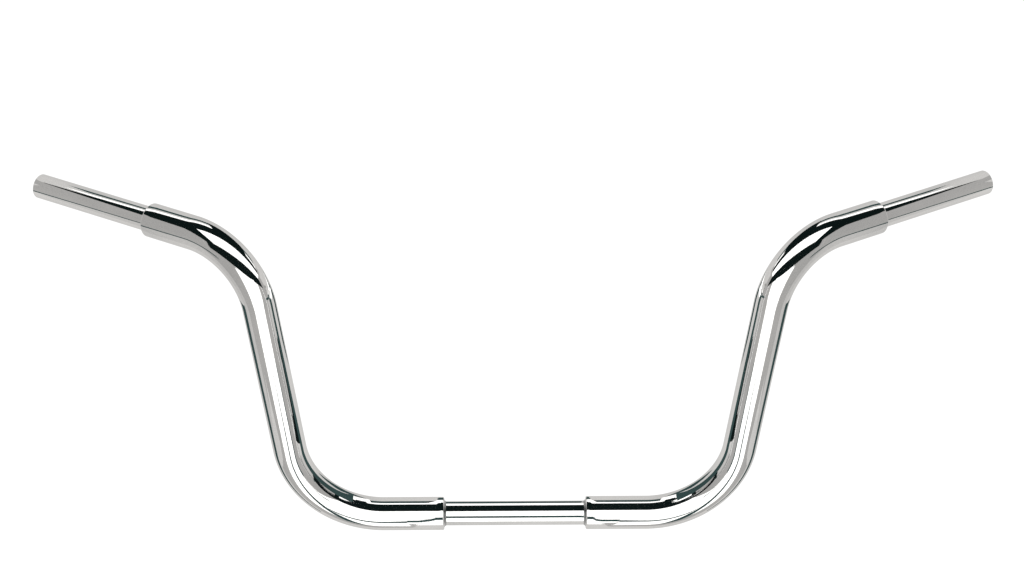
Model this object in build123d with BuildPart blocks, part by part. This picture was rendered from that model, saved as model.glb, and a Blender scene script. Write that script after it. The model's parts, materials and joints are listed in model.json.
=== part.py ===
from build123d import *
import os
from math import cos, radians, sin, tan

# A motorcycle handlebar fabricated from steel tube: a thin clamp tube in the middle, two fat riser
# tubes with two bends each, and two thin grip tubes. Every thin tube is pushed into the end of a fat
# one through a reducer sleeve, and closed with a weld ring that is dressed smooth before plating.
#
# Frame: +X along the clamp tube, +Y back towards the rider, +Z up. The origin is on the clamp tube's
# axis, half way along it. The right-hand pieces are on +X, and the left-hand ones are their mirror
# images in the YZ plane. Lengths are millimetres and angles are degrees.

# Tube sections
thin_od = 25.4
thin_wall = 3.05
sleeve_wall = 1.7
fat_wall = 3.05
sleeve_clearance = 0.0  # radial, on each side of a sleeve: it is driven in line to line

# Route of the bar, from the middle outwards
clamp_run = 149.0  # bare clamp tube between the two shoulders
lower_run = 63.0  # straight fat tube from the clamp shoulder to the lower bend
lower_bend_radius = 97.0
riser_lean = 7.4  # how far the riser leans outwards from upright
riser_run = 172.5  # straight fat tube between the two bends
upper_bend_radius = 74.0
pull_back = 32.0  # how far the grip turns back towards the rider, seen from above
grip_droop = 0.9  # how far the grip falls towards its tip
upper_run = 53.5  # straight fat tube from the upper bend to the grip shoulder
grip_run = 145.5  # bare grip tube from its shoulder to its tip

# Joints between the tubes
sleeve_length = 40.0
tube_past_sleeve = 2.0  # how far a thin tube reaches beyond the inner end of its sleeve
weld_depth = 3.0  # depth of the groove, in front of the sleeve, that the weld fills
weld_lap = 0.6  # how far the weld laps over the end face of the fat tube
weld_leg = 2.2  # how far the weld runs out along the thin tube
weld_root = 0.4  # how deep the weld bites into the thin tube
weld_hollow = 0.35  # how far its face is hollowed below a straight chamfer

# Edges
rim_radius = 1.6  # outer rim of a fat tube's end
tip_radius = 0.8  # outer edge of a grip tube's tip
tip_chamfer = 0.5  # inner edge of a grip tube's tip
lead_in = 0.5  # chamfer of the edges that are pushed in first

# Radii that follow
thin_radius = thin_od / 2
thin_bore_radius = thin_radius - thin_wall
sleeve_bore_radius = thin_radius + sleeve_clearance
sleeve_radius = sleeve_bore_radius + sleeve_wall
fat_bore_radius = sleeve_radius + sleeve_clearance
fat_radius = fat_bore_radius + fat_wall
weld_root_radius = thin_radius - weld_root
groove_length = weld_depth + weld_leg
insertion = weld_depth + sleeve_length + tube_past_sleeve

# Directions of the riser's and the grip's straight runs
riser_direction = Vector(sin(radians(riser_lean)), 0, cos(radians(riser_lean)))
grip_direction = Vector(
    cos(radians(grip_droop)) * cos(radians(pull_back)),
    cos(radians(grip_droop)) * sin(radians(pull_back)),
    -sin(radians(grip_droop)),
)
lower_turn = 90 - riser_lean
upper_turn = riser_direction.get_angle(grip_direction)


def corner_reach(radius, turn):
    """Length of each straight leg that a bend takes up, from its end to the legs' corner."""
    return radius * tan(radians(turn / 2))


# Corners of the centre line
clamp_shoulder_point = Vector(clamp_run / 2, 0, 0)
lower_reach = corner_reach(lower_bend_radius, lower_turn)
upper_reach = corner_reach(upper_bend_radius, upper_turn)
lower_corner = clamp_shoulder_point + Vector(lower_run + lower_reach, 0, 0)
upper_corner = lower_corner + riser_direction * (lower_reach + riser_run + upper_reach)
grip_shoulder_point = upper_corner + grip_direction * (upper_reach + upper_run)

# Planes of the shoulders, each with its Z along the thin tube, out of the fat one
clamp_shoulder = Plane(origin=clamp_shoulder_point, x_dir=(0, 1, 0), z_dir=(-1, 0, 0))
opposite_clamp_shoulder = Plane(origin=-clamp_shoulder_point, x_dir=(0, 1, 0), z_dir=(1, 0, 0))
grip_shoulder = Plane(origin=grip_shoulder_point, x_dir=(0, 0, 1), z_dir=grip_direction)


def shoulder_axis(shoulder):
    """Axis of the tubes that meet at a shoulder, pointing out of the fat tube."""
    return Axis(shoulder.origin, shoulder.z_dir)


def reducer_sleeve(shoulder):
    """Ring between a thin tube and a fat one, set back behind the weld's groove."""
    with BuildPart() as sleeve:
        with BuildSketch(shoulder.offset(-weld_depth)):
            Circle(sleeve_radius)
            Circle(sleeve_bore_radius, mode=Mode.SUBTRACT)
        extrude(amount=-sleeve_length)
        inner_end = sleeve.faces().sort_by(shoulder_axis(shoulder))[0]
        chamfer(inner_end.outer_wire().edges(), length=lead_in)
    return sleeve


def weld_groove(shoulder):
    """Section of the shallow groove round a thin tube that the weld bites into, at its inner end."""
    with BuildSketch(shoulder.offset(-weld_depth)) as groove:
        Circle(fat_bore_radius)
        Circle(weld_root_radius, mode=Mode.SUBTRACT)
    return groove.sketch


def weld_ring(shoulder):
    """Weld that fills the gap in front of a sleeve and rises to a hollow fillet at the shoulder."""
    toe_radius = fat_bore_radius + weld_lap
    profile_plane = Plane(
        origin=shoulder.origin, x_dir=shoulder.x_dir, z_dir=-shoulder.y_dir
    )
    toe = Vector(toe_radius, 0)
    crown = Vector(thin_radius, weld_leg)
    dip = (toe + crown) / 2 - Vector(1, 1).normalized() * weld_hollow
    with BuildPart() as weld:
        with BuildSketch(profile_plane):
            with BuildLine():
                Polyline(
                    crown,
                    (weld_root_radius, weld_leg),
                    (weld_root_radius, -weld_depth),
                    (fat_bore_radius, -weld_depth),
                    (fat_bore_radius, 0),
                    toe,
                )
                ThreePointArc(toe, dip, crown)
            make_face()
        revolve(axis=shoulder_axis(shoulder))
    return weld


def save(piece, name):
    """Label a piece and write it as its own STEP file."""
    piece.part.label = name
    export_step(piece.part, f"parts/{name}.step")


# The clamp tube, with both of its ends inside the riser tubes
clamp_half = clamp_run / 2 + insertion
with BuildPart() as clamp_tube:
    with BuildSketch(Plane.YZ.offset(-clamp_half)):
        Circle(thin_radius)
        Circle(thin_bore_radius, mode=Mode.SUBTRACT)
    extrude(amount=2 * clamp_half)
    for end in clamp_tube.faces().filter_by(Axis.X):
        chamfer(end.outer_wire().edges(), length=lead_in)
    for shoulder in (clamp_shoulder, opposite_clamp_shoulder):
        extrude(weld_groove(shoulder), amount=groove_length, mode=Mode.SUBTRACT)

# The right riser tube, swept from the clamp shoulder round both bends to the grip shoulder
with BuildPart() as right_riser_tube:
    with BuildLine() as riser_line:
        FilletPolyline(
            clamp_shoulder_point,
            lower_corner,
            upper_corner,
            grip_shoulder_point,
            radius=[lower_bend_radius, upper_bend_radius],
        )
    with BuildSketch(clamp_shoulder):
        Circle(fat_radius)
        Circle(fat_bore_radius, mode=Mode.SUBTRACT)
    sweep(path=riser_line.wire())
    for end in right_riser_tube.faces().filter_by(GeomType.PLANE):
        fillet(end.outer_wire().edges(), radius=rim_radius)

# The right grip tube, from inside the riser tube to the open tip
with BuildPart() as right_grip_tube:
    with BuildSketch(grip_shoulder.offset(-insertion)):
        Circle(thin_radius)
        Circle(thin_bore_radius, mode=Mode.SUBTRACT)
    extrude(amount=insertion + grip_run)
    grip_ends = right_grip_tube.faces().filter_by(GeomType.PLANE)
    inner_end, tip = grip_ends.sort_by(shoulder_axis(grip_shoulder))
    chamfer(inner_end.outer_wire().edges(), length=lead_in)
    fillet(tip.outer_wire().edges(), radius=tip_radius)
    chamfer(tip.inner_wires()[0].edges(), length=tip_chamfer)
    extrude(weld_groove(grip_shoulder), amount=groove_length, mode=Mode.SUBTRACT)

# The sleeve and the weld at each right-hand shoulder
right_clamp_sleeve = reducer_sleeve(clamp_shoulder)
right_clamp_weld = weld_ring(clamp_shoulder)
right_grip_sleeve = reducer_sleeve(grip_shoulder)
right_grip_weld = weld_ring(grip_shoulder)

# Every right-hand piece is mirrored to the left
right_pieces = {
    "riser_tube": right_riser_tube,
    "grip_tube": right_grip_tube,
    "clamp_sleeve": right_clamp_sleeve,
    "clamp_weld": right_clamp_weld,
    "grip_sleeve": right_grip_sleeve,
    "grip_weld": right_grip_weld,
}

os.makedirs("parts", exist_ok=True)
save(clamp_tube, "clamp_tube")
for piece_name, right_piece in right_pieces.items():
    save(right_piece, f"right_{piece_name}")
    with BuildPart() as left_piece:
        mirror(right_piece.part, about=Plane.YZ)
    save(left_piece, f"left_{piece_name}")
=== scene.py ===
"""Looks of a chromed motorcycle handlebar with two high risers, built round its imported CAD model.

Every tube is a fine mesh swept along the bar's centre line. Lengths are metres and angles are degrees,
in the CAD's own frame: +X along the clamp tube, +Y back towards the rider, +Z up. Pieces are built
for the right-hand side, +X, and their copies on the left are mirror images in the YZ plane.
"""

import json
from math import ceil, cos, pi, radians, sin, tan

import bmesh  # noqa: E402
import bpy  # noqa: E402
from mathutils import Matrix, Vector  # noqa: E402


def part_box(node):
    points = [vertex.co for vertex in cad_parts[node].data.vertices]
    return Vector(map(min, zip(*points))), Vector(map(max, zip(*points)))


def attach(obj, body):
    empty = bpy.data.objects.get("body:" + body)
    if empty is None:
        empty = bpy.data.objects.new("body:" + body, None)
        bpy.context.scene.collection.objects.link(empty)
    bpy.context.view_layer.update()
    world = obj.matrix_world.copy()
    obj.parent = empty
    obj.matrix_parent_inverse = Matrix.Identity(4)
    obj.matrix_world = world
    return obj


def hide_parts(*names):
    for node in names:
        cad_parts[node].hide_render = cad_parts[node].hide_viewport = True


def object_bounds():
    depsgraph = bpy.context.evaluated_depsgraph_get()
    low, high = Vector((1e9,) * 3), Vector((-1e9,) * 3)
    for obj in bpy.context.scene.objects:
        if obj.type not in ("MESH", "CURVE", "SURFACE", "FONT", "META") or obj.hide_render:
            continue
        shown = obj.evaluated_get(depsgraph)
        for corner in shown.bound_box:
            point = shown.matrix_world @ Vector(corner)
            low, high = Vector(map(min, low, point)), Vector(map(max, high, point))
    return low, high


MM = 0.001

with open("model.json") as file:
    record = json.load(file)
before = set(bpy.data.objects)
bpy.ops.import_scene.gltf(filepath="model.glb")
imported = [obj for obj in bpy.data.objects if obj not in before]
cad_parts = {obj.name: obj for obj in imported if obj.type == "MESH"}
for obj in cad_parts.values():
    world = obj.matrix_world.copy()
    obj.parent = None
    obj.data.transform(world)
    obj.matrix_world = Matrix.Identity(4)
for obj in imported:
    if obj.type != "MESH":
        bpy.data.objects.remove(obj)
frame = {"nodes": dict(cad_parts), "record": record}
cad_low, cad_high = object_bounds()

# Sizes and places read off the CAD
mounts = {mount["name"]: mount for mount in frame["record"]["mounts"]}
clamp_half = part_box("clamp_tube")[1].x
thin_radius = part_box("clamp_tube")[1].z
fat_radius = -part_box("right_riser_tube")[0].z
thin_bore_radius = mounts["right_bar_end"]["dims"]["r_mm"] * MM
grip_direction = Vector(mounts["right_grip"]["axis"]).normalized()

# Route of the bar, from the middle outwards
clamp_run = 149.0 * MM  # bare clamp tube between the two shoulders
lower_run = 63.0 * MM
lower_bend_radius = 97.0 * MM
riser_lean = 7.4
riser_run = 172.5 * MM
upper_bend_radius = 74.0 * MM
upper_run = 53.5 * MM
grip_run = 145.5 * MM  # bare grip tube from its shoulder to its tip

# Joints between the tubes
sleeve_wall = 1.7 * MM
fat_bore_radius = thin_radius + sleeve_wall
weld_depth = 3.0 * MM
weld_lap = 0.6 * MM
weld_leg = 2.2 * MM
weld_root_radius = thin_radius - 0.4 * MM
weld_hollow = 0.35 * MM
insertion = clamp_half - clamp_run / 2

# Edges
rim_radius = 1.6 * MM
tip_radius = 0.8 * MM
tip_chamfer = 0.5 * MM
lead_in = 0.5 * MM

# Fineness of the meshes
segments_round = 160
outer_arc_step = radians(1.25)
bore_arc_step = radians(5)
rim_steps = 8
longest_stretch = 12 * MM  # between rings on a straight run
sharp_angle = radians(30)  # a corner between two faces is kept sharp beyond this

# Faces of a tube take one of these
PLATED, BARE = 0, 1


# ---------------------------------------------------------------- centre line


class Line:
    """A straight centre line. Distances along it may be negative, to reach back inside a fat tube."""

    def __init__(self, start, direction):
        self.start, self.direction = start, direction

    def at(self, along):
        return self.start + self.direction * along, self.direction


class Route:
    """A centre line through corners, each one rounded by an arc."""

    def __init__(self, points, radii):
        self.legs = []  # (length, start, direction, centre or None, radius)
        start = points[0]
        for before, corner, after, radius in zip(points, points[1:], points[2:], radii):
            inward, outward = (corner - before).normalized(), (after - corner).normalized()
            turn = inward.angle(outward)
            reach = radius * tan(turn / 2)
            self._add_run(start, corner - inward * reach)
            to_centre = (outward - inward * outward.dot(inward)).normalized()
            arc_start = corner - inward * reach
            self.legs.append(
                (radius * turn, arc_start, inward, arc_start + to_centre * radius, radius)
            )
            start = corner + outward * reach
        self._add_run(start, points[-1])
        self.length = sum(leg[0] for leg in self.legs)

    def _add_run(self, start, end):
        self.legs.append(((end - start).length, start, (end - start).normalized(), None, None))

    def at(self, along):
        """Point and direction at a distance along the route."""
        for length, start, direction, centre, radius in self.legs:
            if along <= length:
                break
            along -= length
        else:
            along += length
        if centre is None:
            return start + direction * along, direction
        turn = along / radius
        outward = (start - centre).normalized()
        point = centre + (outward * cos(turn) + direction * sin(turn)) * radius
        return point, direction * cos(turn) - outward * sin(turn)

    def rings(self, arc_step):
        """Distances at which to put rings: close together on arcs and further apart on runs."""
        marks, travelled = [0.0], 0.0
        for length, _, _, centre, radius in self.legs:
            step = longest_stretch if centre is None else radius * arc_step
            count = max(1, ceil(length / step))
            marks += [travelled + length * i / count for i in range(1, count + 1)]
            travelled += length
        return marks


riser_direction = Vector((sin(radians(riser_lean)), 0, cos(radians(riser_lean))))
clamp_shoulder = Vector((clamp_run / 2, 0, 0))


def corner_reach(radius, direction, next_direction):
    """Length of each straight leg that a bend takes up, from its end to the legs' corner."""
    return radius * tan(direction.angle(next_direction) / 2)


lower_reach = corner_reach(lower_bend_radius, Vector((1, 0, 0)), riser_direction)
upper_reach = corner_reach(upper_bend_radius, riser_direction, grip_direction)
lower_corner = clamp_shoulder + Vector((lower_run + lower_reach, 0, 0))
upper_corner = lower_corner + riser_direction * (lower_reach + riser_run + upper_reach)
grip_shoulder = upper_corner + grip_direction * (upper_reach + upper_run)

clamp_line = Line(Vector((0, 0, 0)), Vector((1, 0, 0)))
riser_line = Route(
    [clamp_shoulder, lower_corner, upper_corner, grip_shoulder],
    [lower_bend_radius, upper_bend_radius],
)
grip_line = Line(grip_shoulder, grip_direction)
clamp_joint_line = Line(clamp_shoulder, Vector((-1, 0, 0)))


# ---------------------------------------------------------------- profiles
# A profile is a closed list of (distance along, radius, finish of the band to the next ring).


def rounded_edge(along, radius, size, outward):
    """Quarter round between the outside of a tube and an end face, from the outside to the face."""
    arc = []
    for i in range(rim_steps + 1):
        angle = pi / 2 * i / rim_steps
        back = size * (1 - sin(angle))
        arc.append((along - outward * back, radius - size * (1 - cos(angle))))
    return arc


def straight_marks(start, end):
    """Distances between two rings of a straight run, both ends left out."""
    count = max(1, ceil(abs(end - start) / longest_stretch))
    return [start + (end - start) * i / count for i in range(1, count)]


def riser_profile():
    """Outside of a riser tube from the clamp shoulder to the grip shoulder, and back down its bore."""
    end = riser_line.length
    first = list(reversed(rounded_edge(0, fat_radius, rim_radius, -1)))
    last = rounded_edge(end, fat_radius, rim_radius, 1)
    marks = [a for a in riser_line.rings(outer_arc_step) if rim_radius < a < end - rim_radius]
    body = [(a, fat_radius) for a in marks]
    outside = [(a, r, PLATED) for a, r in first + body + last]
    bore = [(a, fat_bore_radius, BARE) for a in reversed(riser_line.rings(bore_arc_step))]
    bore[-1] = (0.0, fat_bore_radius, PLATED)
    return outside + bore


def weld_groove(along, outward):
    """The groove's two walls and floor, met going outwards from the fat tube or inwards into it."""
    inner, outer = along - outward * weld_depth, along + outward * weld_leg
    first, last = sorted((inner, outer))
    return [
        (first, thin_radius, PLATED),
        (first, weld_root_radius, PLATED),
        (last, weld_root_radius, PLATED),
        (last, thin_radius, PLATED),
    ]


def run_of_rings(start, end, radius, finish):
    return [(a, radius, finish) for a in straight_marks(start, end)]


def lead_in_end(along, outward):
    """The chamfered end that is pushed into the fat tube, from the bore to the outside."""
    return [
        (along, thin_bore_radius, BARE),
        (along, thin_radius - lead_in, BARE),
        (along - outward * lead_in, thin_radius, BARE),
    ]


def clamp_profile():
    """Outside of the clamp tube from left to right, and back along its bore."""
    half = clamp_run / 2
    profile = lead_in_end(-clamp_half, -1)
    profile += weld_groove(-half, 1)
    profile += run_of_rings(-half + weld_leg, half - weld_leg, thin_radius, PLATED)
    profile += weld_groove(half, -1)
    profile += reversed(lead_in_end(clamp_half, 1))
    return profile + run_of_rings(clamp_half, -clamp_half, thin_bore_radius, BARE)


def grip_profile():
    """Outside of a grip tube from inside the riser tube to its open tip, and back along its bore."""
    tip = rounded_edge(grip_run, thin_radius, tip_radius, 1)
    profile = lead_in_end(-insertion, -1)
    profile += weld_groove(0.0, 1)
    profile += run_of_rings(weld_leg, grip_run - tip_radius, thin_radius, PLATED)
    profile += [(a, r, PLATED) for a, r in tip]
    profile.append((grip_run, thin_bore_radius + tip_chamfer, PLATED))
    profile.append((grip_run - tip_chamfer, thin_bore_radius, BARE))
    return profile + run_of_rings(grip_run - tip_chamfer, -insertion, thin_bore_radius, BARE)


def weld_profile():
    """Weld that fills the gap in front of a sleeve and rises to a hollow fillet at the shoulder."""
    toe = Vector((0.0, fat_bore_radius + weld_lap))
    crown = Vector((weld_leg, thin_radius))
    dip = Vector((-1, -1)).normalized() * weld_hollow
    face = []
    for i in range(rim_steps + 1):
        t = i / rim_steps
        point = toe.lerp(crown, t) + dip * 4 * t * (1 - t)
        face.append((point.x, point.y, PLATED))
    root = [
        (weld_leg, weld_root_radius, BARE),
        (-weld_depth, weld_root_radius, BARE),
        (-weld_depth, fat_bore_radius, BARE),
        (0.0, fat_bore_radius, BARE),
    ]
    return face + root


# ---------------------------------------------------------------- meshes


def transported_sides(line, marks):
    """Point, direction and a sideways vector at each mark, with no twist from one to the next."""
    side = None
    frames = {}
    for along in sorted(set(marks)):
        point, direction = line.at(along)
        if side is None:
            side = direction.orthogonal()
        side = (side - direction * side.dot(direction)).normalized()
        frames[along] = (point, direction, side.copy())
    return frames


def swept_mesh(name, line, profile):
    """Closed mesh of a profile swept along a line, with each vertex's place on the unbent tube."""
    frames = transported_sides(line, [along for along, _, _ in profile])
    circle = [2 * pi * i / segments_round for i in range(segments_round)]
    vertices, unbent, faces, finishes = [], [], [], []
    for along, radius, _ in profile:
        point, direction, side = frames[along]
        up = direction.cross(side)
        for angle in circle:
            vertices.append(point + (side * cos(angle) + up * sin(angle)) * radius)
            unbent.append((along, radius * cos(angle), radius * sin(angle)))
    for ring, (_, _, finish) in enumerate(profile):
        near, far = ring * segments_round, (ring + 1) % len(profile) * segments_round
        for i in range(segments_round):
            j = (i + 1) % segments_round
            faces.append((near + i, near + j, far + j, far + i))
            finishes.append(finish)
    mesh = bpy.data.meshes.new(name)
    mesh.from_pydata(vertices, [], faces)
    mesh.polygons.foreach_set("material_index", finishes)
    place = mesh.attributes.new("unbent", "FLOAT_VECTOR", "POINT")
    place.data.foreach_set("vector", [value for spot in unbent for value in spot])
    return mesh


def finish_mesh(mesh):
    """Faces outwards, smooth shading, and sharp edges only where the real piece has them."""
    work = bmesh.new()
    work.from_mesh(mesh)
    bmesh.ops.recalc_face_normals(work, faces=work.faces)
    work.to_mesh(mesh)
    work.free()
    mesh.shade_smooth()
    mesh.set_sharp_from_angle(angle=sharp_angle)


def mirrored(mesh, name):
    """The same mesh on the other side of the YZ plane."""
    copy = mesh.copy()
    copy.name = name
    copy.transform(Matrix.Scale(-1, 4, (1, 0, 0)))
    copy.flip_normals()
    return copy


def add_piece(name, mesh, node, materials):
    """One piece of the bar, standing for its CAD node."""
    for material in materials:
        mesh.materials.append(material)
    piece = bpy.data.objects.new(name, mesh)
    bpy.context.scene.collection.objects.link(piece)
    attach(piece, "root")
    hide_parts(node)
    return piece


# ---------------------------------------------------------------- materials


def material_nodes(name):
    """A new material, with a helper that adds a node to it and sets its inputs."""
    material = bpy.data.materials.new(name)
    material.use_nodes = True
    tree = material.node_tree

    def add(kind, links=None, **settings):
        node = tree.nodes.new(kind)
        for key, value in settings.items():
            if hasattr(node, key):
                setattr(node, key, value)
            else:
                node.inputs[key].default_value = value
        for socket, source in (links or {}).items():
            tree.links.new(source, node.inputs[socket])
        return node

    return material, tree.nodes["Principled BSDF"], tree, add


def noise(add, place, scale, detail, roughness=0.5):
    """Noise that varies over the unbent tube. scale holds the repeats per metre along and round it."""
    stretched = add("ShaderNodeMapping", {"Vector": place})
    stretched.inputs["Scale"].default_value = (scale[0], scale[1], scale[1])
    node = add("ShaderNodeTexNoise", {"Vector": stretched.outputs[0]}, Scale=1.0, Detail=detail)
    node.inputs["Roughness"].default_value = roughness
    return node.outputs["Fac"]


def ranged(add, value, low, high, out_low, out_high):
    """A value carried from one range to another."""
    node = add("ShaderNodeMapRange", {"Value": value})
    for key, number in zip(("From Min", "From Max", "To Min", "To Max"), (low, high, out_low, out_high)):
        node.inputs[key].default_value = number
    return node.outputs["Result"]


def blended(add, factor, first, second):
    """A colour between two others."""
    node = add("ShaderNodeMix", {"Factor": factor}, data_type="RGBA")
    colour_inputs = [socket for socket in node.inputs if socket.type == "RGBA"]
    colour_inputs[0].default_value = (*first, 1)
    colour_inputs[1].default_value = (*second, 1)
    return next(socket for socket in node.outputs if socket.type == "RGBA")


def chrome():
    """Bright plate: even in colour, with a faint ripple left by polishing and fine hairlines round it."""
    material, shader, tree, add = material_nodes("chrome")
    place = add("ShaderNodeAttribute", attribute_name="unbent").outputs["Vector"]
    film = noise(add, place, (9, 40), 3)
    hairlines = noise(add, place, (1400, 25), 4, 0.6)
    ripple = noise(add, place, (160, 260), 2)
    grain = noise(add, place, (850, 850), 3, 0.7)
    patches = add("ShaderNodeMath", {0: film, 1: grain}, operation="ADD").outputs[0]
    darkest, brightest = (0.555, 0.555, 0.55), (0.70, 0.695, 0.685)
    colour = blended(add, ranged(add, patches, 0.75, 1.25, 0, 1), darkest, brightest)
    tree.links.new(colour, shader.inputs["Base Color"])
    tree.links.new(ranged(add, hairlines, 0.35, 0.75, 0.015, 0.055), shader.inputs["Roughness"])
    shader.inputs["Metallic"].default_value = 1.0
    shader.inputs["Specular Tint"].default_value = (0.82, 0.82, 0.82, 1)
    waviness = add("ShaderNodeBump", {"Height": ripple}, Distance=0.012 * MM, Strength=1.0)
    texture = add("ShaderNodeBump", {"Height": grain, "Normal": waviness.outputs[0]}, Distance=0.006 * MM)
    tree.links.new(texture.outputs[0], shader.inputs["Normal"])
    return material


def plated_weld_painted_shade():
    """The same plate in the corner of a shoulder: duller and rippled where no buff reaches, and darker by
    painted shade.
    """
    material, shader, tree, add = material_nodes("plated_weld_painted_shade")
    place = add("ShaderNodeAttribute", attribute_name="unbent").outputs["Vector"]
    ripple = noise(add, place, (500, 420), 2)
    film = noise(add, place, (300, 120), 3)
    # The dark colour is painted shade standing in for the dark reflection in the shoulder's corner; the
    # film noise only varies it at random.
    colour = blended(add, ranged(add, film, 0.3, 0.7, 0, 1), (0.20, 0.21, 0.21), (0.36, 0.36, 0.35))
    tree.links.new(colour, shader.inputs["Base Color"])
    tree.links.new(ranged(add, ripple, 0.3, 0.7, 0.14, 0.26), shader.inputs["Roughness"])
    shader.inputs["Metallic"].default_value = 1.0
    bump = add("ShaderNodeBump", {"Height": ripple}, Distance=0.06 * MM)
    tree.links.new(bump.outputs[0], shader.inputs["Normal"])
    return material


def raw_steel(coordinates="unbent"):
    """Bare turned steel inside the tubes: dull, with tool lines round it and a brownish film in patches."""
    on_sweep = coordinates == "unbent"
    material, shader, tree, add = material_nodes("raw_steel" if on_sweep else "raw_steel_node")
    if on_sweep:
        place = add("ShaderNodeAttribute", attribute_name="unbent").outputs["Vector"]
    else:
        place = add("ShaderNodeTexCoord").outputs["Object"]
    patches = noise(add, place, (60, 90), 4, 0.6)
    lines = noise(add, place, (2600, 30), 3, 0.6)
    colour = blended(add, ranged(add, patches, 0.35, 0.7, 0, 1), (0.40, 0.39, 0.37), (0.24, 0.19, 0.15))
    tree.links.new(colour, shader.inputs["Base Color"])
    tree.links.new(ranged(add, lines, 0.3, 0.7, 0.32, 0.55), shader.inputs["Roughness"])
    shader.inputs["Metallic"].default_value = 1.0
    bump = add("ShaderNodeBump", {"Height": lines}, Distance=0.02 * MM)
    tree.links.new(bump.outputs[0], shader.inputs["Normal"])
    return material


# ---------------------------------------------------------------- studio
# The cards draw the bands on the chrome. Only reflections see them. Their corners, in metres, were
# worked out from the angles that the bar reflects in the photograph, and then adjusted. They suit
# the camera's view and no other.


def emission(name, colour, strength):
    material = bpy.data.materials.new(name)
    material.use_nodes = True
    tree = material.node_tree
    tree.nodes.clear()
    light = tree.nodes.new("ShaderNodeEmission")
    light.inputs["Color"].default_value = (*colour, 1)
    light.inputs["Strength"].default_value = strength
    output = tree.nodes.new("ShaderNodeOutputMaterial")
    tree.links.new(light.outputs[0], output.inputs["Surface"])
    return material


def card(name, corners, material, faces=None):
    """A flat card, or a box of them, that only the chrome's reflections see."""
    mesh = bpy.data.meshes.new(name)
    mesh.from_pydata(corners, [], faces or [tuple(range(len(corners)))])
    mesh.materials.append(material)
    sheet = bpy.data.objects.new(name, mesh)
    bpy.context.scene.collection.objects.link(sheet)
    sheet.visible_camera = sheet.visible_diffuse = sheet.visible_shadow = False
    sheet.visible_transmission = sheet.visible_volume_scatter = False
    return sheet


WHITE = emission("card_white", (1.0, 1.0, 0.99), 2.2)
GREY = emission("card_grey", (1.0, 0.985, 0.97), 0.60)
PALE = emission("card_pale", (1.0, 0.985, 0.97), 0.80)
DARK = emission("card_dark", (0.55, 1.0, 1.0), 0.10)
BLACK = emission("card_black", (0.5, 1.0, 1.0), 0.012)


def both_sides(name, corners, material):
    """A card on the right and its mirror image on the left."""
    card(f"{name}_right", corners, material)
    card(f"{name}_left", [(-x, y, z) for x, y, z in corners], material)


def facing(name, y, outline, material):
    """A pair of cards that face the bar in an XZ plane. outline holds (x, z) corners."""
    both_sides(name, [(x, y, z) for x, z in outline], material)


def beside(name, x, near, far, low, high, material):
    """A pair of cards at the bar's ends, in YZ planes."""
    both_sides(name, [(x, near, low), (x, far, low), (x, far, high), (x, near, high)], material)


def level(name, z, inner, outer, near, far, material):
    """A pair of level cards."""
    both_sides(name, [(inner, near, z), (outer, near, z), (outer, far, z), (inner, far, z)], material)


def upright(name, near, far, low, high, material):
    """A pair of upright cards over a line on the ground, from (x, y) near to (x, y) far."""
    corners = [(*near, low), (*far, low), (*far, high), (*near, high)]
    both_sides(name, corners, material)


def add_room():
    """Pale surroundings that fill the reflections between the cards."""
    half, low, high = 4.0, -0.445, 4.0
    corners = [(x, y, z) for x in (-half, half) for y in (-half, half) for z in (low, high)]
    sides = [(0, 1, 3, 2), (4, 5, 7, 6), (0, 1, 5, 4), (2, 3, 7, 6), (0, 2, 6, 4), (1, 3, 7, 5)]
    card("room", corners, emission("card_room", (1.0, 0.985, 0.97), 0.92), sides)


def add_front_cards(floor, front, wall, top):
    """White panels in front of the bar, with the dark gaps that draw thin lines along the tubes."""
    near = 0.089  # half width of what the clamp tube sees; the lower runs see what is beyond it
    lift = 0.001  # a line stands this far in front of its panel
    facing("front_low", front, [(0, floor), (0.14, floor), (0.14, -0.25), (0, -0.25)], WHITE)
    widening = [(0, -0.25), (0.14, -0.25), (0.14, 0.02), (0.42, 0.5), (0.42, 1.1), (0, 1.1)]
    facing("front_high", front, widening, WHITE)
    facing("front_line", front + lift, [(0, -0.09), (near, -0.09), (near, 0.07), (0, 0.07)], DARK)
    falling = [(near, -0.09), (0.115, -0.27), (0.20, -0.27), (0.20, -0.12), (0.115, -0.12), (near, 0.07)]
    facing("front_line_side", front + lift, falling, DARK)
    upright("riser_panel", (0.119, -0.165), (0.358, -0.277), -0.30, 0.36, WHITE)
    start, end = (0.119, -0.163), (0.200, -0.201)
    low_line = [(*start, -0.095), (*end, -0.115), (*end, -0.090), (*start, -0.050)]
    both_sides("riser_panel_line", low_line, DARK)
    facing("riser_slit", -0.163, [(0.185, -0.30), (0.240, -0.30), (0.218, 0.14)], DARK)
    facing("front_grey", front - 0.005, [(0, floor), (wall, floor), (wall, top), (0, top)], GREY)
    level("front_apron", floor, 0, 0.12, front, -0.35, WHITE)
    level("front_grey_apron", floor, 0.12, 0.72, front, -0.10, GREY)
    facing("front_flag", -0.19, [(0, 0.36), (0.5, 0.36), (0.5, 0.526), (0, 0.526)], BLACK)


def add_side_cards(floor, front, wall, top):
    """Grey walls beyond the bar's ends, and dark strips beside the risers."""
    beside("side_grey", wall, front, 0.05, 0.15, top, GREY)
    beside("side_line", wall, front, 0.20, 0.10, 0.16, DARK)
    beside("side_grey_low", wall, front, -0.30, floor, 0.10, GREY)
    beside("side_pale", wall, -0.30, 0.05, floor, 0.10, PALE)
    upright("riser_outer_line", (0.300, -0.010), (0.300, 0.018), -0.25, 0.24, DARK)
    upright("riser_inner_line", (0.165, -0.011), (0.165, 0.012), 0.03, 0.26, DARK)


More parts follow.
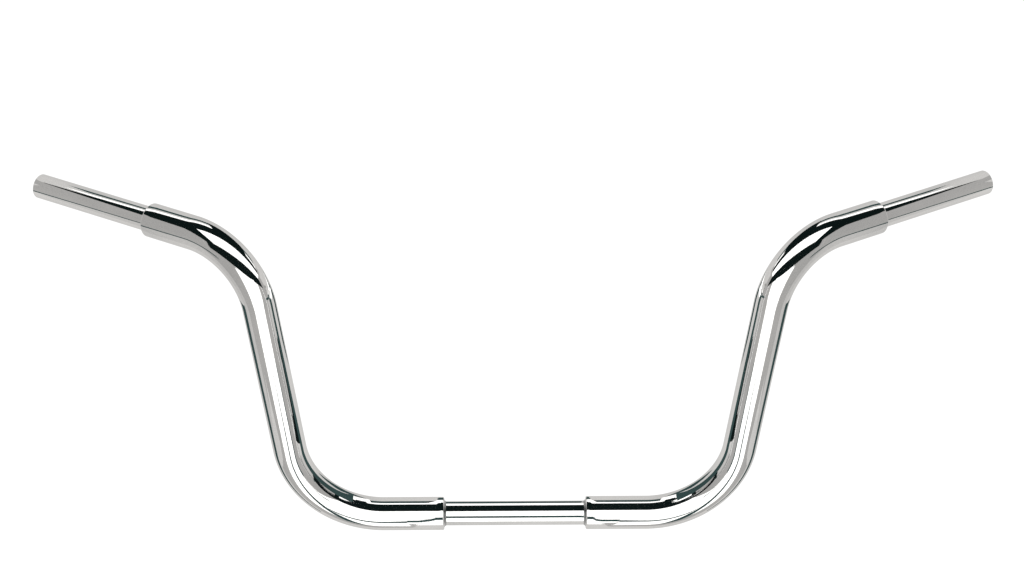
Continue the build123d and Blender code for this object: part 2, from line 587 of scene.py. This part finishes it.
def add_cards_over_middle():
    """Low cards over the clamp tube and the lower runs, out of sight of the upper bends."""
    low, high = 0.06, 0.25
    level("over_clamp", low, 0, 0.076, -0.0375, 0.0195, BLACK)
    level("over_run", low, 0.076, 0.145, -0.050, 0.004, BLACK)
    white = [
        (0, 0.10),
        (0.076, 0.10),
        (0.090, 0),
        (0.16, 0),
        (0.16, 0.096),
        (0.098, 0.096),
        (0.082, 0.268),
        (0, 0.268),
    ]
    both_sides("over_white", [(x, y, high) for x, y in white], WHITE)
    level("over_run_dark", high, 0.098, 0.16, 0.107, 0.20, DARK)
    facing("behind_clamp_dark", 0.268, [(0, 0.022), (0.082, 0.022), (0.082, 0.20), (0, 0.20)], DARK)


def add_cards_overhead(front, top):
    """White bank over the upper bends, under a black canopy that turns grey over the grips."""
    level("over_bank", 0.526, 0, 0.42, -0.19, 0.0, WHITE)
    level("canopy_black", top, 0, 0.82, front, 0.212, BLACK)
    level("canopy_black_back", top, 0, 0.25, 0.212, 0.6, BLACK)
    level("canopy_white", top, 0.25, 0.70, 0.222, 0.30, WHITE)
    level("canopy_line", top, 0.25, 0.62, 0.39, 0.57, DARK)
    level("canopy_grey", top, 0.82, 1.2, front, 0.5, GREY)


def add_cards():
    """All the cards. The room's four places are shared by the cards that line it."""
    room = {"floor": -0.44, "front": -0.5, "wall": 0.9, "top": 0.70}
    add_room()
    add_front_cards(**room)
    add_side_cards(**room)
    add_cards_over_middle()
    add_cards_overhead(room["front"], room["top"])


def add_floor():
    """Plain pale floor, a little below the bar."""
    half = 40.0
    below = -0.45
    mesh = bpy.data.meshes.new("floor")
    corners = [(-half, -half, below), (half, -half, below), (half, half, below), (-half, half, below)]
    mesh.from_pydata(corners, [], [(0, 1, 2, 3)])
    material = bpy.data.materials.new("floor")
    material.use_nodes = True
    shader = material.node_tree.nodes["Principled BSDF"]
    shader.inputs["Base Color"].default_value = (0.86, 0.86, 0.86, 1)
    shader.inputs["Roughness"].default_value = 1.0
    shader.inputs["Specular IOR Level"].default_value = 0.0
    mesh.materials.append(material)
    floor = bpy.data.objects.new("floor", mesh)
    bpy.context.scene.collection.objects.link(floor)


def add_world():
    """Even white light from all round."""
    world = bpy.data.worlds.new("studio")
    bpy.context.scene.world = world
    world.use_nodes = True
    background = world.node_tree.nodes["Background"]
    background.inputs["Color"].default_value = (1.0, 1.0, 1.0, 1)
    background.inputs["Strength"].default_value = 1.25


def add_camera():
    """Camera above and in front of the bar, aimed high so that the bar sits low in the frame."""
    pitch, yaw, roll = radians(30.7), radians(0.7), radians(0.1)
    distance = 2.5
    aim = (cad_low + cad_high) / 2 + Vector((-0.002, 0.057, 0.0475))
    forward = Vector((sin(yaw) * cos(pitch), cos(yaw) * cos(pitch), -sin(pitch)))
    right = Vector((cos(yaw), -sin(yaw), 0))
    up = right.cross(forward)
    right, up = right * cos(roll) + up * sin(roll), up * cos(roll) - right * sin(roll)
    turned = Matrix((right, up, -forward)).transposed().to_4x4()
    data = bpy.data.cameras.new("camera")
    data.lens, data.sensor_width = 83.2, 36.0
    camera = bpy.data.objects.new("camera", data)
    camera.matrix_world = Matrix.Translation(aim - forward * distance) @ turned
    bpy.context.scene.collection.objects.link(camera)
    bpy.context.scene.camera = camera


# ---------------------------------------------------------------- the bar


def build_bar():
    """Every tube and weld as a swept piece on both sides, and bare steel on the CAD's own sleeves."""
    plate, steel = chrome(), raw_steel()
    # The weld finish carries painted shade in its colour.
    finishes = {"chrome": [plate, steel], "weld": [plated_weld_painted_shade(), steel]}
    clamp = swept_mesh("clamp_bar", clamp_line, clamp_profile())
    finish_mesh(clamp)
    add_piece("clamp_bar", clamp, "clamp_tube", finishes["chrome"])
    for name, node, line, profile, finish in (
        ("riser", "riser_tube", riser_line, riser_profile(), "chrome"),
        ("grip", "grip_tube", grip_line, grip_profile(), "chrome"),
        ("clamp_weld_ring", "clamp_weld", clamp_joint_line, weld_profile(), "weld"),
        ("grip_weld_ring", "grip_weld", grip_line, weld_profile(), "weld"),
    ):
        right = swept_mesh(f"right_{name}", line, profile)
        finish_mesh(right)
        left = mirrored(right, f"left_{name}")
        for side, mesh in (("right", right), ("left", left)):
            add_piece(f"{side}_{name}", mesh, f"{side}_{node}", finishes[finish])
    bare = raw_steel("node")
    for side in ("left", "right"):
        for joint in ("clamp", "grip"):
            sleeve = frame["nodes"][f"{side}_{joint}_sleeve"]
            sleeve.data.materials.clear()
            sleeve.data.materials.append(bare)


build_bar()
add_floor()
add_world()
add_cards()
add_camera()
bpy.context.scene.view_settings.view_transform = "Standard"
